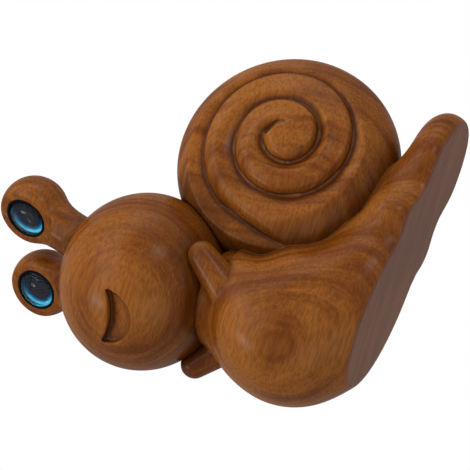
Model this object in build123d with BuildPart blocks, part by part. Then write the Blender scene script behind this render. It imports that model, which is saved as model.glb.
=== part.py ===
from build123d import *
import math
import os

os.makedirs("parts", exist_ok=True)

# Frame: the snail faces -Y, its left side is +X, and its flat sole lies on Z = 0.
# The origin is the middle of the sole. All lengths are in millimetres.

# Foot and chest, one carving that bends up from the sole to the neck
tail_reach = 29.5
foot_half_width = 12.8
foot_half_height = 8.3
bend_y = 1.0
neck_height = 31.0
chest_half_depth = 14.6
chest_half_width = 14.3
neck_half_length = 8.9
neck_half_width = 9.3
neck_setback = 20.3

# Slices of the foot, tail first. Each row has four shares: distance behind the origin (of
# tail_reach), middle height, half height (of foot_half_height) and half width (of foot_half_width).
foot_slice_shares = (
    (0.997, 0.29, 0.12, 0.12),
    (0.973, 0.29, 0.33, 0.34),
    (0.919, 0.29, 0.50, 0.50),
    (0.808, 0.28, 0.64, 0.67),
    (0.589, 0.29, 0.74, 0.80),
    (0.411, 0.34, 0.98, 0.71),
    (0.310, 0.37, 0.94, 0.80),
    (0.215, 0.40, 0.88, 0.96),
    (0.120, 0.43, 0.92, 0.98),
)
# Slices of the chest on planes that fan up to the front about the bend. Each row has the fan angle
# in degrees and three shares: middle distance (of neck_height), half depth and half width.
chest_slice_shares = (
    (0.0, 0.871, 0.63, 0.79),
    (12.0, 0.868, 0.71, 0.87),
    (25.0, 0.877, 0.89, 0.92),
    (38.0, 0.855, 0.99, 0.97),
    (52.0, 0.865, 1.00, 1.00),
    (66.0, 0.813, 0.92, 0.96),
    (78.0, 0.710, 0.76, 0.80),
)

# Arms, two short rounded nubs on the chest: base, tip centre and the two radii of each
arm_base_radius = 3.9
arm_tip_radius = 2.7
left_arm_base = (8.0, -21.0, 24.5)
left_arm_tip = (11.7, -16.1, 32.3)
right_arm_base = (-6.0, -23.5, 25.0)
right_arm_tip = (-8.0, -31.2, 31.4)

# Shell: a turned blank, domed on both sides, with a coil of whorls carved into it
blank_radius = 21.45
blank_half_thickness = 12.1
wood_under_shell = 7.35
shell_front_reach = 11.95
# Profile of the blank from the hub to the rim: share of the radius and of the half thickness
blank_profile_shares = ((0.42, 0.90), (0.75, 0.69), (0.935, 0.40))
hub_core_radius = 0.4
hub_radius = 2.6
dome_fall_share = 0.55
coil_offset_y = 1.6
coil_offset_z = -0.3
whorl_pitch = 6.36
whorl_inner_width = 3.6
whorl_outer_width = 3.5
groove_depth = 1.4
flank_steepness = 1.5
rim_steepness = 0.6
crest_stand = 0.15
coil_start_angle = 117.0
coil_start_turn = -0.05
first_groove_turn = 0.42
groove_fade_turns = 0.45
coil_turns = 3.4
coil_arcs = 8
slices_per_arc = 6
# Where the coil becomes the outermost whorl, it widens out to the rim
widening_turn = 2.16
widening_turns = 0.2
rim_whorl_width = 9.5

# Head: a ball, a little flatter than wide, turned to the snail's left and tipped
head_half_width = 16.9
head_half_height = 15.9
ball_pole_radius = 0.3
ball_curve_steps = 12
head_sink = 2.1
head_lean = 2.35
head_turn_angle = 34.5
head_nod_angle = 2.1
head_tip_angle = -9.9

# Smile: a crescent with its deepest edge at the upper lip
mouth_half_width = 5.6
upper_lip_rise = 2.6
upper_lip_sag = 1.4
lower_lip_drop = 3.2
mouth_depth = 2.0
mouth_turn_angle = 7.3
mouth_down_angle = 12.0
mouth_tilt_angle = 6.7
mouth_floor_angle = 13.0

# Eye stalks: a round bulb with a flat ringed face, on a short neck with a peg in the head
bulb_radius = 6.6
bulb_spread = 8.4
bulb_setback = 2.7
bulb_lift = 9.7
ring_face_distance = 3.3
ring_edge_radius = 0.8
eye_converge_angle = 3.7
stalk_shoulder_angle = 58.0
stalk_neck_radius = 4.3
stalk_base_radius = 4.8
stalk_waist_share = 0.55
stalk_flare_angle = 45.0
peg_radius = 2.0
peg_length = 6.0

# Glass eyes: a black cup, a blue iris ring, a black pupil and a clear dome
eye_cup_radius = 4.15
eye_cup_wall = 0.4
eye_cup_floor = 0.5
eye_cup_depth = 2.2
iris_thickness = 0.4
pupil_radius = 2.1
pupil_thickness = 0.4
dome_edge = 1.1
dome_bulge = 1.3

# Glue pegs hidden inside
head_dowel_radius = 2.5
head_dowel_reach = 7.0
shell_dowel_radius = 1.5
shell_dowel_reach = 4.0
shell_dowel_angles = (228.0, 282.0)

# Fits
glue_gap = 0.1
peg_clearance = 0.1
peg_end_room = 0.5
eye_clearance = 0.05
overrun = 2.0

# Places worked out from the sizes above
blank_centre = Vector(0, blank_radius - shell_front_reach, wood_under_shell + blank_radius)
coil_centre = blank_centre + Vector(0, coil_offset_y, coil_offset_z)
neck_y = bend_y - neck_setback
head_centre = Vector(0, neck_y - head_lean, neck_height - head_sink + head_half_height)
bulb_rise = head_half_height + bulb_lift


def turned(vector):
    """Turn a vector from the head's own frame (left, back, up) into the snail's frame."""
    tipped = vector.rotate(Axis.Y, head_tip_angle)
    nodded = tipped.rotate(Axis.X, -head_nod_angle)
    return nodded.rotate(Axis.Z, head_turn_angle)


def head_point(left, back, up):
    """Place a point given in the head's own frame."""
    return head_centre + turned(Vector(left, back, up))


def slice_at(middle, direction, half_width, half_depth):
    """One oval slice across the foot or the chest."""
    plane = Plane(origin=middle, x_dir=(1, 0, 0), z_dir=direction)
    with BuildSketch(plane) as oval:
        Ellipse(half_width, half_depth)
    return oval.sketch


def body_slices():
    """All slices of the body, from the tip of the tail to the neck."""
    slices = []
    for back, middle, height, width in foot_slice_shares:
        place = (0, back * tail_reach, middle * foot_half_height)
        slices.append(
            slice_at(place, (0, -1, 0), width * foot_half_width, height * foot_half_height)
        )
    for angle, distance, depth, width in chest_slice_shares:
        forward = math.sin(math.radians(angle))
        down = math.cos(math.radians(angle))
        reach = distance * neck_height
        place = (0, bend_y - reach * forward, neck_height - reach * down)
        slices.append(
            slice_at(
                place,
                (0, -down, forward),
                width * chest_half_width,
                depth * chest_half_depth,
            )
        )
    slices.append(slice_at((0, neck_y, neck_height), (0, 0, 1), neck_half_width, neck_half_length))
    return slices


def blank_slice(gap):
    """Half section of the turned blank, with room for glue all round it."""
    top = blank_half_thickness + gap
    upper = [
        (share * blank_radius + gap, height * blank_half_thickness + gap)
        for share, height in blank_profile_shares
    ]
    lower = [(radius, -height) for radius, height in reversed(upper)]
    rim = (blank_radius + gap, 0)
    with BuildSketch(Plane(origin=blank_centre, x_dir=(0, 0, 1), z_dir=(0, 1, 0))) as section:
        with BuildLine():
            Spline((hub_core_radius, top), *upper, rim, tangents=((1, 0), (0, -1)))
            Spline(rim, *lower, (hub_core_radius, -top), tangents=((0, -1), (-1, 0)))
            Polyline((hub_core_radius, -top), (0, -top), (0, top), (hub_core_radius, top))
        make_face()
    return section.sketch


def dome_height(radius):
    """Half thickness of the domed coil at a distance from the hub."""
    return blank_half_thickness * (1 - dome_fall_share * (radius / blank_radius) ** 2)


def eased(share):
    """Ease from nought to one with a soft start and end."""
    held = min(max(share, 0), 1)
    return held * held * (3 - 2 * held)


def coil_plane(turns):
    """Half plane through the coil's axis: x points out from the hub, y across the shell."""
    angle = math.radians(coil_start_angle + 360 * turns)
    outward = (0, math.cos(angle), math.sin(angle))
    along = (0, -math.sin(angle), math.cos(angle))
    return Plane(origin=coil_centre, x_dir=outward, z_dir=along)


def whorl_slice(turns):
    """Section of a whorl: a scooped inner flank, a crest, and a steep round outer flank."""
    radius = max(turns * whorl_pitch, 2 * hub_core_radius)
    crest = dome_height(radius) + crest_stand
    inner = max(radius - whorl_inner_width, hub_core_radius)
    scoop = eased((turns - first_groove_turn) / groove_fade_turns)
    floor = crest + scoop * (dome_height(inner) - groove_depth - crest)
    wider = eased((turns - widening_turn) / widening_turns)
    reach = whorl_outer_width + wider * (rim_whorl_width - whorl_outer_width)
    drop = dome_height(radius) - dome_height(radius + whorl_outer_width) + groove_depth
    fall = drop * (flank_steepness + wider * (rim_steepness - flank_steepness))
    with BuildSketch(coil_plane(turns)) as section:
        with BuildLine():
            Spline((inner, floor), (radius, crest), tangents=((1, 0), (1, 0)))
            EllipticalCenterArc((radius, crest - fall), reach, fall, 0, arc_size=90)
            Line((radius + reach, crest - fall), (radius + reach, fall - crest))
            EllipticalCenterArc((radius, fall - crest), reach, fall, -90, arc_size=90)
            Spline((radius, -crest), (inner, -floor), tangents=((-1, 0), (-1, 0)))
            Line((inner, -floor), (inner, floor))
        make_face()
    return section.sketch


def ball_slice(gap):
    """Half section of the ball head, with room for glue all round it."""
    across = head_half_width + gap
    upright = head_half_height + gap
    pole = math.acos(ball_pole_radius / across)
    angles = [pole * (2 * step / ball_curve_steps - 1) for step in range(ball_curve_steps + 1)]
    oval = [(across * math.cos(angle), upright * math.sin(angle)) for angle in angles]
    with BuildSketch(Plane(origin=head_centre, x_dir=(1, 0, 0), z_dir=(0, -1, 0))) as section:
        with BuildLine():
            Spline(*oval)
            Polyline(oval[-1], (0, oval[-1][1]), (0, oval[0][1]), oval[0])
        make_face()
    return section.sketch


blank_axis = Axis(blank_centre, (1, 0, 0))
ball_axis = Axis(head_centre, (0, 0, 1))

# Room for the ball head, cut from all that it touches
with BuildPart() as ball_room:
    add(ball_slice(glue_gap))
    revolve(axis=ball_axis)

# Room for the shell, cut from the body as a saddle
with BuildPart() as saddle_room:
    add(blank_slice(glue_gap))
    revolve(axis=blank_axis)


def dowel_plane(angle):
    """Plane on the rim of the shell, facing away from the hub."""
    outward = Vector(0, math.cos(math.radians(angle)), math.sin(math.radians(angle)))
    return Plane(origin=blank_centre + outward * blank_radius, z_dir=outward)


# Glue pegs between the shell and the foot
dowel_names = ("shell_dowel_front", "shell_dowel_rear")
for name, angle in zip(dowel_names, shell_dowel_angles):
    with BuildPart() as shell_dowel:
        with BuildSketch(dowel_plane(angle)):
            Circle(shell_dowel_radius)
        extrude(amount=shell_dowel_reach, both=True)
    shell_dowel.part.label = name
    export_step(shell_dowel.part, f"parts/{name}.step")

# Holes for those pegs, cut from the shell and from the foot
with BuildPart() as shell_dowel_holes:
    for angle in shell_dowel_angles:
        with BuildSketch(dowel_plane(angle)):
            Circle(shell_dowel_radius + peg_clearance)
        extrude(amount=shell_dowel_reach + peg_end_room, both=True)

# Peg between the head and the neck
neck_top = Plane(origin=(0, neck_y, neck_height))
with BuildPart() as head_dowel:
    with BuildSketch(neck_top):
        Circle(head_dowel_radius)
    extrude(amount=head_dowel_reach, both=True)
head_dowel.part.label = "head_dowel"
export_step(head_dowel.part, "parts/head_dowel.step")

with BuildPart() as head_dowel_hole:
    with BuildSketch(neck_top):
        Circle(head_dowel_radius + peg_clearance)
    extrude(amount=head_dowel_reach + peg_end_room, both=True)

# The turned blank that the shell is carved from
with BuildPart() as blank:
    add(blank_slice(0))
    revolve(axis=blank_axis)

# Shell: arcs lofted one after another round a hub, then trimmed to the turned blank
with BuildPart() as shell:
    with BuildSketch(coil_plane(0)):
        with Locations((hub_radius / 2, 0)):
            Rectangle(hub_radius, 2 * (blank_half_thickness + crest_stand))
    revolve(axis=Axis(coil_centre, (1, 0, 0)))
    growth = coil_turns - coil_start_turn
    for arc in range(coil_arcs):
        places = [
            coil_start_turn + growth * (arc + step / slices_per_arc) / coil_arcs
            for step in range(slices_per_arc + 1)
        ]
        loft(sections=[whorl_slice(place) for place in places])
    add(blank.part, mode=Mode.INTERSECT)
    add(ball_room.part, mode=Mode.SUBTRACT)
    add(shell_dowel_holes.part, mode=Mode.SUBTRACT)
shell.part.label = "shell"
export_step(shell.part, "parts/shell.step")

# Body: foot, chest and arms in one carving, flat below, with seats for the shell and the head
with BuildPart() as body:
    loft(sections=body_slices())
    for base, tip in ((left_arm_base, left_arm_tip), (right_arm_base, right_arm_tip)):
        arm_direction = (Vector(tip) - Vector(base)).normalized()
        arm_length = (Vector(tip) - Vector(base)).length
        arm_side = arm_direction.cross(Vector(0, 0, 1))
        with BuildSketch(Plane(origin=base, x_dir=arm_direction, z_dir=arm_side)):
            with BuildLine():
                CenterArc((0, 0), arm_base_radius, 180, -90)
                Line((0, arm_base_radius), (arm_length, arm_tip_radius))
                CenterArc((arm_length, 0), arm_tip_radius, 90, -90)
                Line((arm_length + arm_tip_radius, 0), (-arm_base_radius, 0))
            make_face()
        revolve(axis=Axis(base, arm_direction))
    split(bisect_by=Plane.XY, keep=Keep.TOP)
    add(saddle_room.part, mode=Mode.SUBTRACT)
    add(ball_room.part, mode=Mode.SUBTRACT)
    add(shell_dowel_holes.part, mode=Mode.SUBTRACT)
    add(head_dowel_hole.part, mode=Mode.SUBTRACT)
body.part.label = "body"
export_step(body.part, "parts/body.step")

# Smile cut: a crescent prism whose floor slopes up to the lower lip
mouth_direction = turned(
    Vector(0, -1, 0).rotate(Axis.X, mouth_down_angle).rotate(Axis.Z, mouth_turn_angle)
)
mouth_left = turned(Vector(1, 0, 0).rotate(Axis.Y, mouth_tilt_angle).rotate(Axis.Z, mouth_turn_angle))
mouth_flatness = math.hypot(
    math.hypot(mouth_direction.X, mouth_direction.Y) / head_half_width,
    mouth_direction.Z / head_half_height,
)
mouth_centre = head_centre + mouth_direction / mouth_flatness
mouth_plane = Plane(origin=mouth_centre, x_dir=mouth_left, z_dir=mouth_direction)
mouth_floor = Plane(
    origin=mouth_plane.from_local_coords(Vector(0, upper_lip_rise - upper_lip_sag, -mouth_depth)),
    x_dir=mouth_plane.x_dir,
    z_dir=mouth_plane.z_dir.rotate(Axis((0, 0, 0), mouth_plane.x_dir), -mouth_floor_angle),
)
with BuildPart() as mouth_room:
    with BuildSketch(mouth_plane):
        with BuildLine():
            ThreePointArc(
                (-mouth_half_width, upper_lip_rise),
                (0, upper_lip_rise - upper_lip_sag),
                (mouth_half_width, upper_lip_rise),
            )
            ThreePointArc(
                (mouth_half_width, upper_lip_rise),
                (0, -lower_lip_drop),
                (-mouth_half_width, upper_lip_rise),
            )
        make_face()
    extrude(amount=mouth_depth + overrun, both=True)
    split(bisect_by=mouth_floor, keep=Keep.TOP)

# Holes in the head for the pegs of the eye stalks
with BuildPart() as peg_holes:
    for side in (1, -1):
        bulb_centre = head_point(side * bulb_spread, bulb_setback, bulb_rise)
        inward = (head_centre - bulb_centre).normalized()
        root = (head_centre - bulb_centre).length - head_half_height
        with BuildSketch(Plane(origin=bulb_centre, z_dir=inward)):
            Circle(peg_radius + peg_clearance)
        extrude(amount=root + peg_length + peg_end_room)

# Head
with BuildPart() as head:
    add(ball_slice(0))
    revolve(axis=ball_axis)
    add(mouth_room.part, mode=Mode.SUBTRACT)
    add(head_dowel_hole.part, mode=Mode.SUBTRACT)
    add(peg_holes.part, mode=Mode.SUBTRACT)
head.part.label = "head"
export_step(head.part, "parts/head.step")

# Eye stalks and eyes, left then right
for side, side_name in ((1, "left"), (-1, "right")):
    bulb_centre = head_point(side * bulb_spread, bulb_setback, bulb_rise)
    gaze = turned(Vector(0, -1, 0).rotate(Axis.Z, -side * eye_converge_angle))
    across = turned(Vector(1, 0, 0).rotate(Axis.Z, -side * eye_converge_angle))
    inward = (head_centre - bulb_centre).normalized()
    reach = (head_centre - bulb_centre).length
    root = reach - head_half_height
    gaze_axis = Axis(bulb_centre, gaze)
    socket_floor = ring_face_distance - eye_cup_depth
    # Half sections of the bulb and the eye: x across, y along the gaze
    bulb_plane = Plane(origin=bulb_centre, x_dir=across, z_dir=across.cross(gaze))

    ring_radius = math.sqrt(bulb_radius**2 - ring_face_distance**2)
    ring_start = math.degrees(math.atan2(ring_face_distance, ring_radius))
    shoulder = bulb_radius * math.cos(math.radians(stalk_shoulder_angle))
    shoulder_radius = bulb_radius * math.sin(math.radians(stalk_shoulder_angle))
    waist = root * stalk_waist_share + bulb_radius * (1 - stalk_waist_share)
    flare = math.radians(stalk_flare_angle)
    eye_plane = Plane(origin=bulb_centre + gaze * socket_floor, z_dir=gaze)
    with BuildPart() as stalk:
        with BuildSketch(Plane(origin=bulb_centre, x_dir=inward, z_dir=inward.cross(gaze))):
            with BuildLine():
                Line((0, 0), (0, shoulder_radius))
                Line((0, shoulder_radius), (shoulder, shoulder_radius))
                Spline(
                    (shoulder, shoulder_radius),
                    (waist, stalk_neck_radius),
                    (root, stalk_base_radius),
                    tangents=(
                        (shoulder_radius, -shoulder),
                        (math.cos(flare), math.sin(flare)),
                    ),
                )
                Line((root, stalk_base_radius), (root + overrun, stalk_base_radius))
                Line((root + overrun, stalk_base_radius), (root + overrun, 0))
                Line((root + overrun, 0), (0, 0))
            make_face()
        revolve(axis=Axis(bulb_centre, inward))
        with BuildSketch(Plane(origin=bulb_centre + gaze * ring_face_distance, z_dir=gaze)):
            Circle(bulb_radius)
        extrude(amount=bulb_radius, mode=Mode.SUBTRACT)
        with BuildSketch(bulb_plane):
            with BuildLine():
                CenterArc((0, 0), bulb_radius, -90, 90 + ring_start)
                Line((ring_radius, ring_face_distance), (0, ring_face_distance))
                Line((0, ring_face_distance), (0, -bulb_radius))
            make_face()
            fillet(vertices().group_by(Axis.Y)[-1].sort_by(Axis.X)[-1], ring_edge_radius)
        revolve(axis=gaze_axis)
        add(ball_room.part, mode=Mode.SUBTRACT)
        with BuildSketch(Plane(origin=bulb_centre, z_dir=inward)):
            Circle(peg_radius)
        extrude(amount=root + peg_length)
        with BuildSketch(eye_plane):
            Circle(eye_cup_radius + eye_clearance)
        extrude(amount=eye_cup_depth + bulb_radius, mode=Mode.SUBTRACT)
    stalk.part.label = f"eyestalk_{side_name}"
    export_step(stalk.part, f"parts/eyestalk_{side_name}.step")

    with BuildPart() as eye_cup:
        with BuildSketch(eye_plane):
            Circle(eye_cup_radius)
        extrude(amount=eye_cup_depth)
        with BuildSketch(eye_plane.offset(eye_cup_floor)):
            Circle(eye_cup_radius - eye_cup_wall)
        extrude(amount=eye_cup_depth, mode=Mode.SUBTRACT)
    eye_cup.part.label = f"eye_cup_{side_name}"
    export_step(eye_cup.part, f"parts/eye_cup_{side_name}.step")

    glass_radius = eye_cup_radius - eye_cup_wall - eye_clearance
    with BuildPart() as iris:
        with BuildSketch(eye_plane.offset(eye_cup_floor)):
            Circle(glass_radius)
            Circle(pupil_radius + eye_clearance, mode=Mode.SUBTRACT)
        extrude(amount=iris_thickness)
    iris.part.label = f"eye_iris_{side_name}"
    export_step(iris.part, f"parts/eye_iris_{side_name}.step")

    with BuildPart() as pupil:
        with BuildSketch(eye_plane.offset(eye_cup_floor)):
            Circle(pupil_radius)
        extrude(amount=pupil_thickness)
    pupil.part.label = f"eye_pupil_{side_name}"
    export_step(pupil.part, f"parts/eye_pupil_{side_name}.step")

    dome_start = socket_floor + eye_cup_floor + max(iris_thickness, pupil_thickness)
    with BuildPart() as dome:
        with BuildSketch(bulb_plane):
            with BuildLine():
                Line((0, dome_start), (glass_radius, dome_start))
                Line((glass_radius, dome_start), (glass_radius, dome_start + dome_edge))
                dome_sphere = (glass_radius**2 + dome_bulge**2) / (2 * dome_bulge)
                dome_top = dome_start + dome_edge + dome_bulge
                dome_middle = math.sqrt(dome_sphere**2 - (glass_radius / 2) ** 2)
                ThreePointArc(
                    (glass_radius, dome_start + dome_edge),
                    (glass_radius / 2, dome_top - dome_sphere + dome_middle),
                    (0, dome_top),
                )
                Line((0, dome_top), (0, dome_start))
            make_face()
        revolve(axis=gaze_axis)
    dome.part.label = f"eye_dome_{side_name}"
    export_step(dome.part, f"parts/eye_dome_{side_name}.step")
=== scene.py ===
import bmesh
import bpy
from mathutils import Matrix, Vector
from mathutils.bvhtree import BVHTree


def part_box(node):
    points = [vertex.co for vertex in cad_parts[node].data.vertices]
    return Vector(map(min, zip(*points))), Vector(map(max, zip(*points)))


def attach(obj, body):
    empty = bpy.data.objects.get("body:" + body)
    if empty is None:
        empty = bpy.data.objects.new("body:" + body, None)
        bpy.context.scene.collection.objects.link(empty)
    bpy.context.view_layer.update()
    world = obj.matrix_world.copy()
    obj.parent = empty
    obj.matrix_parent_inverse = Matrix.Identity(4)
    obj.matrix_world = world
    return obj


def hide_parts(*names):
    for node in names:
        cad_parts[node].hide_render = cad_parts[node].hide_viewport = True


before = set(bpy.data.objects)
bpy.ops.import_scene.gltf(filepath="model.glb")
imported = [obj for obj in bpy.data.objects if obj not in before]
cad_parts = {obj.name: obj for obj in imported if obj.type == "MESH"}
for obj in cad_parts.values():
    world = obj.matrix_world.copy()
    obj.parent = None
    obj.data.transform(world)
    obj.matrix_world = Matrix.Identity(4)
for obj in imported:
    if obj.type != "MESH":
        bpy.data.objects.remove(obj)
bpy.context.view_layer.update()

# Lengths are written in millimetres and multiplied by MM, because the scene is in metres
MM = 0.001
SIDES = ("left", "right")


# Tools for carving a piece

# Points of a CAD mesh that are nearer to each other than this are one point
WELD = 0.002 * MM
# How far a point goes to the middle of its neighbours in one smoothing pass
PASS_SHARE = 0.5


def eased(share):
    """Ease from nought to one with a soft start and end."""
    held = min(max(share, 0.0), 1.0)
    return held * held * (3 - 2 * held)


def cad_copy(name, cad_node):
    """A copy of a CAD node's mesh with its loose triangles joined."""
    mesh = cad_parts[cad_node].data.copy()
    shape = bmesh.new()
    shape.from_mesh(mesh)
    bmesh.ops.remove_doubles(shape, verts=shape.verts, dist=WELD)
    bmesh.ops.recalc_face_normals(shape, faces=shape.faces)
    shape.to_mesh(mesh)
    shape.free()
    piece = bpy.data.objects.new(name, mesh)
    bpy.context.scene.collection.objects.link(piece)
    return piece


def applied(piece):
    """The piece's mesh with its modifiers worked in."""
    depsgraph = bpy.context.evaluated_depsgraph_get()
    return bpy.data.meshes.new_from_object(piece.evaluated_get(depsgraph))


def add_smoothing(piece, passes):
    """Give a piece a smoothing modifier."""
    smoothing = piece.modifiers.new("smoothing", "SMOOTH")
    smoothing.factor = PASS_SHARE
    smoothing.iterations = passes
    return smoothing


def smoothed(piece, passes):
    """The piece's mesh after a number of smoothing passes."""
    smoothing = add_smoothing(piece, passes)
    mesh = applied(piece)
    piece.modifiers.remove(smoothing)
    return mesh


def search_tree(piece):
    """A search tree of a piece's faces."""
    return BVHTree.FromPolygons(
        [vertex.co for vertex in piece.data.vertices],
        [face.vertices for face in piece.data.polygons],
    )


def write_values(piece, title, values):
    """Keep one number for each vertex, for the materials to read."""
    attribute = piece.data.attributes.new(title, "FLOAT", "POINT")
    attribute.data.foreach_set("value", values)


def ride_for(piece, cad_node):
    """Let a piece stand for a CAD node on the figurine's one body."""
    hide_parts(cad_node)
    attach(piece, "root")


# The wooden pieces

# How squarely a face of the shell looks sideways where the deeper carving starts, and how much
# more squarely where it is full
SIDE_START = 0.3
SIDE_RANGE = 0.4
# Local smoothing grows this steeply inwards, so that it is full well before the middle
SOFT_GAIN = 1.6
# How far from a neighbour the fine painted highlight line along the seam and the painted shade reach
LINE_REACH = 2.0 * MM
SHADE_REACH = 7.0 * MM
# A face in a joint is drawn to its neighbour and a tenth of the gap beyond, to close the gap
SEAT_SHARE = 1.1
# The reliefs that the painted shade and the painted highlight lines read, each with its smoothing
# passes and the depth that counts as one
RELIEFS = {"crease": (6, 0.1 * MM), "hollow": (120, 0.6 * MM)}


def carved_copy(cad_node, grid, passes):
    """A finer copy of a turned or lofted solid, with every arris and crease eased."""
    name = cad_node + "_carving"
    piece = cad_copy(name, cad_node)
    remesh = piece.modifiers.new("even grid", "REMESH")
    remesh.mode = "VOXEL"
    remesh.voxel_size = grid
    piece.data = applied(piece)
    piece.modifiers.clear()
    piece.data = smoothed(piece, passes)
    piece.data.name = name
    piece.data.shade_smooth()
    ride_for(piece, cad_node)
    return piece


def soften_around(piece, places, reach, passes):
    """Smooth a piece only near some places."""
    near = piece.vertex_groups.new(name="near")
    for vertex in piece.data.vertices:
        distance = min((vertex.co - place).length for place in places)
        if distance < reach:
            near.add((vertex.index,), eased(SOFT_GAIN * (1 - distance / reach)), "REPLACE")
    add_smoothing(piece, passes).vertex_group = near.name
    piece.data = applied(piece)
    piece.modifiers.clear()
    piece.vertex_groups.clear()
    piece.data.shade_smooth()


def deepen(piece, fine_passes, broad_passes, share):
    """Carve the hollows deeper and raise the crests on the two domed sides of the shell."""
    fine = smoothed(piece, fine_passes)
    broad = smoothed(piece, broad_passes)
    moves = []
    for vertex, near, calm in zip(piece.data.vertices, fine.vertices, broad.vertices):
        on_side = eased((abs(vertex.normal.x) - SIDE_START) / SIDE_RANGE)
        stands = (near.co - calm.co).dot(vertex.normal)
        moves.append(vertex.normal * stands * share * on_side)
    for vertex, move in zip(piece.data.vertices, moves):
        vertex.co += move
    bpy.data.meshes.remove(fine)
    bpy.data.meshes.remove(broad)


def seat(piece, neighbours, near, lined=None):
    """Close the glue gap against the neighbours and write how near each vertex is to them.

    The seam value is for the fine painted highlight line along the lined neighbour, the shade value
    for the painted shade beside all of them."""
    trees = [(neighbour is lined, search_tree(neighbour)) for neighbour in neighbours]
    seam_values = []
    shade_values = []
    for vertex in piece.data.vertices:
        closest, gap, line_gap = None, SHADE_REACH, LINE_REACH
        for has_line, tree in trees:
            spot, _, _, distance = tree.find_nearest(vertex.co, SHADE_REACH)
            if spot is None:
                continue
            if has_line:
                line_gap = min(line_gap, distance)
            if distance < gap:
                closest, gap = spot, distance
        seam_values.append(line_gap / LINE_REACH)
        shade_values.append(gap / SHADE_REACH)
        if closest is not None:
            vertex.co += (closest - vertex.co) * eased((near - gap) / near) * SEAT_SHARE
    write_values(piece, "seam", seam_values)
    write_values(piece, "shade", shade_values)


def relief(piece, title, passes, depth):
    """Write how far each vertex stands above or below its smoothed surroundings."""
    soft = smoothed(piece, passes)
    values = [
        (vertex.co - calm.co).dot(vertex.normal) / depth
        for vertex, calm in zip(piece.data.vertices, soft.vertices)
    ]
    write_values(piece, title, values)
    bpy.data.meshes.remove(soft)


body = carved_copy("body", grid=0.28 * MM, passes=12)
shell = carved_copy("shell", grid=0.25 * MM, passes=8)
head = carved_copy("head", grid=0.28 * MM, passes=2)
stalks = [carved_copy("eyestalk_" + side, grid=0.2 * MM, passes=6) for side in SIDES]
wood_pieces = [body, shell, head, *stalks]

# The step where the coil starts is softened, here on the left side and mirrored on the right
coil_start = Vector((12.1, 10.6, 30.3)) * MM
coil_starts = (coil_start * Vector((-1, 1, 1)), coil_start)
soften_around(shell, coil_starts, reach=3.2 * MM, passes=40)
deepen(shell, fine_passes=14, broad_passes=250, share=1.1)

seat(body, (shell, head), near=0.5 * MM, lined=shell)
for stalk in stalks:
    seat(stalk, (head,), near=0.5 * MM)
seat(shell, (body, head), near=0.3 * MM, lined=body)
seat(head, (body, shell), near=0.05 * MM)
for piece in wood_pieces:
    for title, (passes, depth) in RELIEFS.items():
        relief(piece, title, passes, depth)


# Tools for building a material

# Where a Mix node keeps its two colours, and the mixed one, among the sockets of all its kinds
FIRST_COLOUR = 6
SECOND_COLOUR = 7
MIXED_COLOUR = 2
# Room for one node in the node editor
COLUMN_WIDTH = 220
ROW_HEIGHT = 280


def feed(tree, socket, value):
    """Link an input to another node's output, or give it a plain value."""
    if isinstance(value, bpy.types.NodeSocket):
        tree.links.new(value, socket)
    else:
        socket.default_value = value


def add_node(tree, kind, feeds=(), **settings):
    """Add a shader node: its first inputs come in order, its options and other inputs by name."""
    made = tree.nodes.new(kind)
    for key, value in settings.items():
        if hasattr(made, key):
            setattr(made, key, value)
        else:
            feed(tree, made.inputs[key.replace("_", " ")], value)
    for socket, value in zip(made.inputs, feeds):
        feed(tree, socket, value)
    return made


def lay_out(tree):
    """Put each node in a column left of every node that it feeds."""
    columns = {node.name: 0 for node in tree.nodes}
    for _ in tree.nodes:
        for link in tree.links:
            giver, taker = link.from_node.name, link.to_node.name
            columns[giver] = max(columns[giver], columns[taker] + 1)
    rows = dict.fromkeys(columns.values(), 0)
    for node in tree.nodes:
        column = columns[node.name]
        node.location = (-column * COLUMN_WIDTH, -rows[column] * ROW_HEIGHT)
        rows[column] += 1


def start_group(name, inputs, outputs):
    """Start a shader node group, its sockets named with their kinds."""
    tree = bpy.data.node_groups.new(name, "ShaderNodeTree")
    for direction, sockets in (("INPUT", inputs), ("OUTPUT", outputs)):
        for title, kind in sockets.items():
            tree.interface.new_socket(title, in_out=direction, socket_type="NodeSocket" + kind)
    start = tree.nodes.new("NodeGroupInput")
    end = tree.nodes.new("NodeGroupOutput")
    return tree, start.outputs, end.inputs


def end_group(tree, sockets, **results):
    """Feed a group's outputs and lay the group out."""
    for title, value in results.items():
        feed(tree, sockets[title], value)
    lay_out(tree)
    return tree


def empty_tree(owner):
    """The empty node tree of a material or a world."""
    owner.use_nodes = True
    owner.node_tree.nodes.clear()
    return owner.node_tree


def finished_material(name, make_inputs):
    """A material with one Principled shader, fed by what a function builds in its tree."""
    material = bpy.data.materials.new(name)
    tree = empty_tree(material)
    shader = add_node(tree, "ShaderNodeBsdfPrincipled", **make_inputs(tree))
    add_node(tree, "ShaderNodeOutputMaterial", Surface=shader.outputs["BSDF"])
    lay_out(tree)
    return material


def object_place(tree):
    """Where a point lies in the figurine's own frame."""
    return add_node(tree, "ShaderNodeTexCoord").outputs["Object"]


def attribute_value(tree, title):
    """Read a number kept on the piece's vertices."""
    return add_node(tree, "ShaderNodeAttribute", attribute_name=title).outputs["Fac"]


def noise(tree, place, scale, detail, roughness=0.5):
    """Soft random patches, as many to a metre as the scale says."""
    made = add_node(
        tree, "ShaderNodeTexNoise", Vector=place, Scale=scale, Detail=detail, Roughness=roughness
    )
    return made.outputs


def math_value(tree, operation, *feeds):
    """The result of a Math node."""
    return add_node(tree, "ShaderNodeMath", feeds, operation=operation).outputs["Value"]


def vector_math(tree, operation, *feeds):
    """The results of a Vector Math node, one a vector and one a number."""
    return add_node(tree, "ShaderNodeVectorMath", feeds, operation=operation).outputs


def ramp(tree, value, low, high, start=0.0, end=1.0):
    """Spread a value between two limits over a new range, with soft ends."""
    feeds = (value, low, high, start, end)
    made = add_node(tree, "ShaderNodeMapRange", feeds, interpolation_type="SMOOTHSTEP")
    return made.outputs["Result"]


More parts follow.
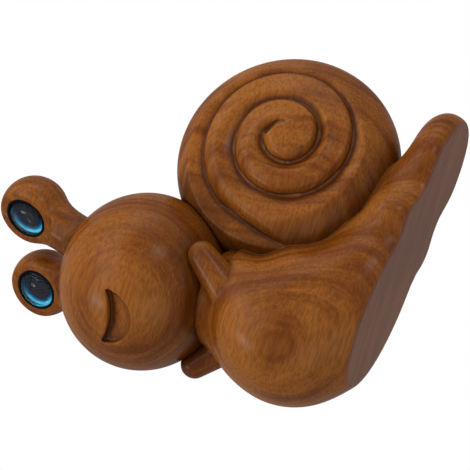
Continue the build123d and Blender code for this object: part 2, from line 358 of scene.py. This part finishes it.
def blend(tree, share, first, second):
    """Mix two colours by a share."""
    made = add_node(tree, "ShaderNodeMix", (share,), data_type="RGBA")
    feed(tree, made.inputs[FIRST_COLOUR], first)
    feed(tree, made.inputs[SECOND_COLOUR], second)
    return made.outputs[MIXED_COLOUR]


def finish_with(piece, material):
    """Give a piece one material."""
    piece.data.materials.clear()
    piece.data.materials.append(material)


def dress_cad_node(cad_node, material):
    """Give a CAD node that stays a better material."""
    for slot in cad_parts[cad_node].material_slots:
        slot.link = "OBJECT"
        slot.material = material


# Grain of one block of wood

# How many of each mark lie in a metre, before they are drawn out along the fibres
WANDERS = 38.0
DRIFTS = 42.0
PATCHES = 110.0
BROAD_BANDS = 260.0
FINE_BANDS = 1000.0
FIBRES = 2400.0
PORES = 2600.0
# How each mark is squeezed across the rings, beside them and along the fibres
BAND_SQUEEZE = (1.0, 0.05, 0.03)
PATCH_SQUEEZE = (1.0, 1.0, 0.35)
FIBRE_SQUEEZE = (1.0, 1.0, 0.10)
PORE_SQUEEZE = (1.0, 1.0, 0.13)
# How far the fibres wander to each side
FIBRE_WANDER = (3 * MM, 3 * MM, 3 * MM)
# Shares of the broad and the fine bands in the tone, and the middle of both together
BROAD_SHARE = 0.55
FINE_SHARE = 0.45
BAND_MIDDLE = 0.5
# How dark the fibres are, and how high they stand beside the depth of a pore
FIBRE_DARKNESS = 0.34
FIBRE_HEIGHT = 0.35


def block_place_group():
    """Places in the block of wood: across the growth rings, beside them, along the fibres."""
    tree, start, end = start_group(
        "block place",
        {"Ring Direction": "Vector", "Fibre Direction": "Vector"},
        {"Place": "Vector"},
    )
    place = object_place(tree)
    wander = noise(tree, place, WANDERS, detail=2.0)["Color"]
    wandered = vector_math(tree, "MULTIPLY_ADD", wander, FIBRE_WANDER, place)["Vector"]
    across, along = start["Ring Direction"], start["Fibre Direction"]
    beside = vector_math(tree, "CROSS_PRODUCT", across, along)["Vector"]
    parts = [
        vector_math(tree, "DOT_PRODUCT", wandered, direction)["Value"]
        for direction in (across, beside, along)
    ]
    joined = add_node(tree, "ShaderNodeCombineXYZ", parts)
    return end_group(tree, end, Place=joined.outputs["Vector"])


def wood_grain_group():
    """Growth bands, slow figure, fine fibres and short open pores of one block of wood."""
    tree, start, end = start_group(
        "wood grain",
        {
            "Place": "Vector",
            "Light": "Color",
            "Mid": "Color",
            "Dark": "Color",
            "Band Strength": "Float",
            "Pore Strength": "Float",
        },
        {"Color": "Color", "Height": "Float"},
    )

    def squeezed(scale):
        """Places squeezed so that marks are drawn out along the fibres."""
        made = add_node(tree, "ShaderNodeMapping", Vector=start["Place"], Scale=scale)
        return made.outputs["Vector"]

    # Growth bands are thin sheets across the ring direction, broad and fine together
    sheets = squeezed(BAND_SQUEEZE)
    broad_bands = noise(tree, sheets, BROAD_BANDS, detail=2.0)["Fac"]
    fine_bands = noise(tree, sheets, FINE_BANDS, detail=4.0, roughness=0.7)["Fac"]
    broad_part = math_value(tree, "MULTIPLY", broad_bands, BROAD_SHARE)
    banded = math_value(tree, "MULTIPLY_ADD", fine_bands, FINE_SHARE, broad_part)
    swing = math_value(tree, "SUBTRACT", banded, BAND_MIDDLE)
    bands = math_value(tree, "MULTIPLY", swing, start["Band Strength"])

    # The slow figure is patches a few millimetres wide that lie along the fibres
    patches = noise(tree, squeezed(PATCH_SQUEEZE), PATCHES, detail=3.0)["Fac"]
    drift = noise(tree, start["Place"], DRIFTS, detail=1.0)["Fac"]
    both = math_value(tree, "ADD", patches, drift)
    figure = math_value(tree, "MULTIPLY", both, 0.5)

    # Pores are short dark dashes that keep to some of the fine bands
    cells = add_node(tree, "ShaderNodeTexVoronoi", Vector=squeezed(PORE_SQUEEZE), Scale=PORES)
    dashes = ramp(tree, cells.outputs["Distance"], low=0.10, high=0.32, start=1.0, end=0.0)
    pore_rows = ramp(tree, fine_bands, low=0.40, high=0.52)
    pores = math_value(tree, "MULTIPLY", dashes, pore_rows)
    fibres = noise(tree, squeezed(FIBRE_SQUEEZE), FIBRES, detail=3.0)["Fac"]

    tone = math_value(tree, "ADD", bands, figure)
    light_share = ramp(tree, tone, low=0.28, high=0.70)
    plain = blend(tree, light_share, start["Mid"], start["Light"])
    fibre_share = ramp(tree, fibres, low=0.34, high=0.62, start=FIBRE_DARKNESS, end=0.0)
    pore_share = math_value(tree, "MULTIPLY", pores, start["Pore Strength"])
    dark_share = math_value(tree, "MAXIMUM", fibre_share, pore_share)
    raised = math_value(tree, "MULTIPLY", fibres, FIBRE_HEIGHT)
    return end_group(
        tree,
        end,
        Color=blend(tree, dark_share, plain, start["Dark"]),
        Height=math_value(tree, "SUBTRACT", raised, pores),
    )


block_place = block_place_group()
wood_grain = wood_grain_group()


def add_grain(tree, directions, colours, band_strength, pore_strength):
    """Put the grain of a block, cut in the given directions, in a wood material."""
    ring_direction, fibre_direction = directions
    light, mid, dark = colours
    block = add_node(
        tree,
        "ShaderNodeGroup",
        node_tree=block_place,
        Ring_Direction=ring_direction,
        Fibre_Direction=fibre_direction,
    )
    grain = add_node(
        tree,
        "ShaderNodeGroup",
        node_tree=wood_grain,
        Place=block.outputs["Place"],
        Light=light,
        Mid=mid,
        Dark=dark,
        Band_Strength=band_strength,
        Pore_Strength=pore_strength,
    )
    return grain.outputs


# Finish of the carved wood

# Across the rings and along the fibres of the block that the snail was carved from
CARVED_DIRECTIONS = ((0.85, -0.50, -0.16), (0.38, 0.92, 0.0))
# Its light, middle and dark wood
CARVED_COLOURS = ((0.350, 0.116, 0.018, 1.0), (0.165, 0.039, 0.004, 1.0), (0.045, 0.010, 0.002, 1.0))
# Colour of the painted shade, with some stain, in hollows and beside seams
SHADE_AND_STAIN_COLOUR = (0.050, 0.0095, 0.0012, 1.0)
# Colour of the painted highlight lines in creases and along the shell's seat
HIGHLIGHT_LINE_COLOUR = (0.50, 0.25, 0.08, 1.0)
SOLE_COLOUR = (0.21, 0.092, 0.063, 1.0)
# The bare sole ends between these heights, and shows this much of its own colour
SOLE_LOW = 0.1 * MM
SOLE_HIGH = 0.5 * MM
SOLE_SHARE = 0.6
# The most painted shade, with some stain, that hollows and the places beside seams take, and how
# strong the painted highlight line is along the shell's seat
HOLLOW_SHADE_AND_STAIN = 0.85
SEAM_SHADE = 0.75
SEAM_HIGHLIGHT = 0.35
# Depth of the open grain under the polish
GRAIN_DEPTH = 0.06 * MM


def painted_light_and_stain_group():
    """Painted shade, with some stain, in hollows and beside seams, and painted highlights in fine
    lines along creases and the shell's seat.
    """
    tree, start, end = start_group(
        "painted_light_and_stain",
        {"Color": "Color", "Stain": "Color", "Bare Wood": "Color", "Bare Strength": "Float"},
        {"Color": "Color"},
    )
    # Painted shade, with some stain, in hollows and beside the seams
    in_hollow = ramp(tree, attribute_value(tree, "hollow"), low=0.10, high=-0.55)
    beside_seam = ramp(tree, attribute_value(tree, "shade"), low=-0.15, high=1.0, start=1.0, end=0.0)
    hollow_shade_and_stain = math_value(tree, "MULTIPLY", in_hollow, HOLLOW_SHADE_AND_STAIN)
    seam_shade = math_value(tree, "MULTIPLY", beside_seam, SEAM_SHADE)
    all_shade_and_stain = math_value(tree, "MAXIMUM", hollow_shade_and_stain, seam_shade)
    darker = blend(tree, all_shade_and_stain, start["Color"], start["Stain"])

    # Painted highlight lines in creases and along the shell's seat
    in_crease = ramp(tree, attribute_value(tree, "crease"), low=-0.37, high=-0.72)
    at_seam = ramp(tree, attribute_value(tree, "seam"), low=0.08, high=0.15, start=1.0, end=0.0)
    crease_highlight = math_value(tree, "MULTIPLY", in_crease, start["Bare Strength"])
    seam_highlight = math_value(tree, "MULTIPLY", at_seam, SEAM_HIGHLIGHT)
    highlight_lines = math_value(tree, "MAXIMUM", crease_highlight, seam_highlight)
    return end_group(tree, end, Color=blend(tree, highlight_lines, darker, start["Bare Wood"]))


painted_light_and_stain = painted_light_and_stain_group()


def carved_wood_material(name, highlight_strength):
    """Polished hardwood, darkened by painted shade with some stain in hollows and beside seams, with
    painted highlight lines and a bare flat sole.
    """

    def make_inputs(tree):
        grain = add_grain(
            tree, CARVED_DIRECTIONS, CARVED_COLOURS, band_strength=1.5, pore_strength=0.35
        )
        aged = add_node(
            tree,
            "ShaderNodeGroup",
            node_tree=painted_light_and_stain,
            Color=grain["Color"],
            Stain=SHADE_AND_STAIN_COLOUR,
            Bare_Wood=HIGHLIGHT_LINE_COLOUR,
            Bare_Strength=highlight_strength,
        )
        # The sole is flat and matt, a greyer brown
        height = add_node(tree, "ShaderNodeSeparateXYZ", (object_place(tree),)).outputs["Z"]
        on_sole = ramp(tree, height, low=SOLE_LOW, high=SOLE_HIGH, start=1.0, end=0.0)
        sole_grain = blend(tree, SOLE_SHARE, grain["Color"], SOLE_COLOUR)
        bump = add_node(
            tree, "ShaderNodeBump", Height=grain["Height"], Strength=0.5, Distance=GRAIN_DEPTH
        )
        return {
            "Base_Color": blend(tree, on_sole, aged.outputs["Color"], sole_grain),
            "Roughness": ramp(tree, on_sole, low=0.0, high=1.0, start=0.40, end=0.75),
            "Specular_IOR_Level": 0.0,
            "Coat_Weight": 0.2,
            "Coat_Roughness": 0.26,
            "Normal": bump.outputs["Normal"],
        }

    return finished_material(name, make_inputs)


# The head's wood takes no painted highlight lines
carved_wood = carved_wood_material("carved wood", highlight_strength=0.32)
ball_wood = carved_wood_material("carved wood of the head", highlight_strength=0.0)
for piece in wood_pieces:
    finish_with(piece, ball_wood if piece is head else carved_wood)


# Hidden dowels

# Turned with the fibres along Z, in plain pale wood
DOWEL_DIRECTIONS = ((1.0, 0.0, 0.0), (0.0, 0.0, 1.0))
DOWEL_COLOURS = ((0.62, 0.44, 0.24, 1.0), (0.50, 0.33, 0.16, 1.0), (0.30, 0.17, 0.07, 1.0))


def dowel_inputs(tree):
    """Plain turned dowel, pale and dry."""
    grain = add_grain(tree, DOWEL_DIRECTIONS, DOWEL_COLOURS, band_strength=0.5, pore_strength=0.3)
    return {"Base_Color": grain["Color"], "Roughness": 0.65}


dowel_wood = finished_material("dowel wood", dowel_inputs)
for cad_node in ("head_dowel", "shell_dowel_front", "shell_dowel_rear"):
    dress_cad_node(cad_node, dowel_wood)


# View of the photograph

# Directions of the picture's right and upper edges, and back from the snail to the camera
view_right = Vector((-0.2019, 0.4218, -0.8839))
view_up = Vector((0.3724, 0.8678, 0.3291))
view_back = Vector((0.9058, -0.2627, -0.3323))
# The point in the middle of the picture
aim = Vector((5.56, -8.49, 30.55)) * MM
CAMERA_DISTANCE = 450 * MM
SENSOR_WIDTH_MM = 36
LENS_MM = 185.3


def from_camera(right, up, back):
    """A place in metres along the picture's own directions, counted from the aim."""
    return aim + view_right * right + view_up * up + view_back * back


# Glass eyes

IRIS_RADIUS = 3.7 * MM
# Painted light: the irises are brightest on the side low in the picture and a little to its right, as
# the glass domes gather the light there
painted_light_side = view_right * 0.25 - view_up * 0.97
# Colours of the iris from its darkest to its brightest; the brightest shows where the painted light
# is strongest
NIGHT_BLUE = (0.001, 0.004, 0.012, 1.0)
DEEP_BLUE = (0.005, 0.09, 0.20, 1.0)
BRIGHT_BLUE = (0.07, 0.56, 0.80, 1.0)
CLEAN_BLACK = (0.004, 0.005, 0.008, 1.0)
DUSTY_BLACK = (0.012, 0.012, 0.016, 1.0)
# How many spokes of the iris, and specks of dust on the black, lie in a metre
SPOKES = 900.0
DUST = 1200.0
# The glass is lifted a hair off the paint below it, so that the two faces stay apart
GLASS_LIFT = 0.04 * MM
# A face that looks this squarely along the eye's axis stays flat, as the dome's base does
BASE_FACING = 0.9999


def iris_group():
    """Painted iris: deep blue towards the pupil and the top, with painted light that brightens its
    lower edge.
    """
    tree, start, end = start_group(
        "painted iris", {"Centre": "Vector", "Bright Side": "Vector"}, {"Color": "Color"}
    )
    away = vector_math(tree, "SUBTRACT", object_place(tree), start["Centre"])["Vector"]
    reach = vector_math(tree, "LENGTH", away)["Value"]
    side = vector_math(tree, "DOT_PRODUCT", away, start["Bright Side"])["Value"]
    radius = math_value(tree, "DIVIDE", reach, IRIS_RADIUS)
    lower = math_value(tree, "DIVIDE", side, IRIS_RADIUS)
    # Painted light: the iris grows brighter towards its lower side
    painted_glow = ramp(tree, lower, low=-0.85, high=0.75)
    outward = ramp(tree, radius, low=0.58, high=0.98)
    lit = math_value(tree, "MULTIPLY", painted_glow, outward)
    spokes = noise(tree, away, SPOKES, detail=2.0)["Fac"]
    spoke_share = ramp(tree, spokes, low=0.3, high=0.7, start=0.8, end=1.15)
    amount = math_value(tree, "MULTIPLY", lit, spoke_share)
    deep_share = ramp(tree, amount, low=0.0, high=0.45)
    bright_share = ramp(tree, amount, low=0.40, high=0.95)
    deep = blend(tree, deep_share, NIGHT_BLUE, DEEP_BLUE)
    return end_group(tree, end, Color=blend(tree, bright_share, deep, BRIGHT_BLUE))


painted_iris = iris_group()


def iris_material(side, centre):
    """Blue enamel of one eye's iris, with painted light on its lower side."""

    def make_inputs(tree):
        paint = add_node(
            tree,
            "ShaderNodeGroup",
            node_tree=painted_iris,
            Centre=centre,
            Bright_Side=painted_light_side,
        )
        return {
            "Base_Color": paint.outputs["Color"],
            "Roughness": 0.35,
            "Specular_IOR_Level": 0.0,
        }

    return finished_material("iris blue " + side, make_inputs)


def eye_black_inputs(tree):
    """Black paint of the cup and the pupil, with a trace of dust."""
    dust = noise(tree, object_place(tree), DUST, detail=3.0)["Fac"]
    return {
        "Base_Color": blend(tree, dust, CLEAN_BLACK, DUSTY_BLACK),
        "Roughness": ramp(tree, dust, low=0.3, high=0.7, start=0.18, end=0.30),
        "Specular_IOR_Level": 0.0,
    }


def eye_glass_inputs(tree):
    """Clear domed glass that bends the view little, so that the pupil keeps its size."""
    return {
        "Base_Color": (0.96, 0.98, 1.0, 1.0),
        "Roughness": 0.02,
        "Transmission_Weight": 1.0,
        "IOR": 1.06,
        "Coat_Weight": 0.15,
        "Coat_Roughness": 0.04,
    }


def eye_glass_piece(side, axis):
    """The glass dome of one eye, on a flat base."""
    cad_node = "eye_dome_" + side
    piece = cad_copy("eye_glass_" + side, cad_node)
    for vertex in piece.data.vertices:
        vertex.co += axis * GLASS_LIFT
    for face in piece.data.polygons:
        face.use_smooth = abs(face.normal.dot(axis)) < BASE_FACING
    ride_for(piece, cad_node)
    return piece


def middle(cad_node):
    """Centre of a CAD node's box."""
    low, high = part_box(cad_node)
    return (Vector(low) + Vector(high)) / 2


eye_black = finished_material("eye black", eye_black_inputs)
eye_glass = finished_material("eye glass", eye_glass_inputs)
for side in SIDES:
    eye_axis = (middle("eye_dome_" + side) - middle("eye_cup_" + side)).normalized()
    dress_cad_node("eye_cup_" + side, eye_black)
    dress_cad_node("eye_pupil_" + side, eye_black)
    dress_cad_node("eye_iris_" + side, iris_material(side, middle("eye_iris_" + side)))
    finish_with(eye_glass_piece(side, eye_axis), eye_glass)


# Studio

WHITE = (1.0, 1.0, 1.0, 1.0)
PAPER = (0.92, 0.92, 0.92, 1.0)
# Strength of the pale room's own light on the snail
SOFT_LIGHT = 0.31
FLOOR_RADIUS = 600 * MM
# Sizes and places of the lamps are in metres
LAMP_WIDTH = 0.40


def white_world():
    """Pale studio: white where it is looked at or mirrored, soft light on the snail."""
    world = bpy.data.worlds.new("studio")
    bpy.context.scene.world = world
    tree = empty_tree(world)
    soft = add_node(tree, "ShaderNodeBackground", Color=WHITE, Strength=SOFT_LIGHT)
    white = add_node(tree, "ShaderNodeBackground", Color=WHITE, Strength=1.0)
    ray = add_node(tree, "ShaderNodeLightPath").outputs
    seen = math_value(tree, "MAXIMUM", ray["Is Camera Ray"], ray["Is Transmission Ray"])
    shown = math_value(tree, "MAXIMUM", seen, ray["Is Glossy Ray"])
    backgrounds = (shown, soft.outputs["Background"], white.outputs["Background"])
    mix = add_node(tree, "ShaderNodeMixShader", backgrounds)
    add_node(tree, "ShaderNodeOutputWorld", Surface=mix.outputs["Shader"])
    lay_out(tree)


def pale_floor():
    """A pale floor that takes the snail's shadow and is open from below, as the photograph needs."""
    mesh = bpy.data.meshes.new("floor")
    shape = bmesh.new()
    bmesh.ops.create_circle(shape, cap_ends=True, segments=64, radius=FLOOR_RADIUS)
    shape.to_mesh(mesh)
    shape.free()
    floor = bpy.data.objects.new("floor", mesh)
    bpy.context.scene.collection.objects.link(floor)
    material = bpy.data.materials.new("floor paper")
    tree = empty_tree(material)
    clear = add_node(tree, "ShaderNodeBsdfTransparent")
    paper = add_node(tree, "ShaderNodeBsdfDiffuse", Color=PAPER)
    ray = add_node(tree, "ShaderNodeLightPath").outputs
    geometry = add_node(tree, "ShaderNodeNewGeometry").outputs
    from_above = math_value(tree, "SUBTRACT", 1.0, geometry["Backfacing"])
    shown = math_value(tree, "MULTIPLY", from_above, ray["Is Camera Ray"])
    mix = add_node(tree, "ShaderNodeMixShader", (shown, clear.outputs["BSDF"], paper.outputs["BSDF"]))
    add_node(tree, "ShaderNodeOutputMaterial", Surface=mix.outputs["Shader"])
    lay_out(tree)
    floor.data.materials.append(material)


def photograph_camera():
    """The camera that sees the snail as the photograph does."""
    data = bpy.data.cameras.new("camera")
    data.sensor_width = SENSOR_WIDTH_MM
    data.lens = LENS_MM
    data.clip_start = 10 * MM
    camera = bpy.data.objects.new("camera", data)
    turn = Matrix((view_right, view_up, view_back)).transposed().to_4x4()
    camera.matrix_world = Matrix.Translation(aim + view_back * CAMERA_DISTANCE) @ turn
    bpy.context.scene.collection.objects.link(camera)
    bpy.context.scene.camera = camera


def area_lamp(name, place, power, width=LAMP_WIDTH, height=None):
    """A soft lamp that faces the snail, square unless it has a height of its own."""
    data = bpy.data.lights.new(name, "AREA")
    data.shape = "RECTANGLE"
    data.size = width
    data.size_y = height or width
    data.energy = power
    lamp = bpy.data.objects.new(name, data)
    lamp.location = place
    lamp.rotation_euler = (aim - place).to_track_quat("-Z", "Y").to_euler()
    bpy.context.scene.collection.objects.link(lamp)


white_world()
pale_floor()
photograph_camera()

# Broad soft lamps from the left and above, a narrow window at the lower left, a weak lamp from
# below, and a small key for the highlights
area_lamp("left", from_camera(right=-0.45, up=0.15, back=0.35), power=1.1)
area_lamp("window", from_camera(right=-0.50, up=-0.20, back=0.22), power=0.7, width=0.10, height=0.20)
area_lamp("top left", from_camera(right=-0.40, up=0.45, back=0.15), power=0.85)
area_lamp("top", from_camera(right=0.0, up=0.60, back=0.05), power=0.8)
area_lamp("low", from_camera(right=0.15, up=-0.35, back=0.45), power=0.45)
area_lamp("key", from_camera(right=0.22, up=0.36, back=0.44), power=0.5, width=0.14)

bpy.context.scene.view_settings.view_transform = "Standard"
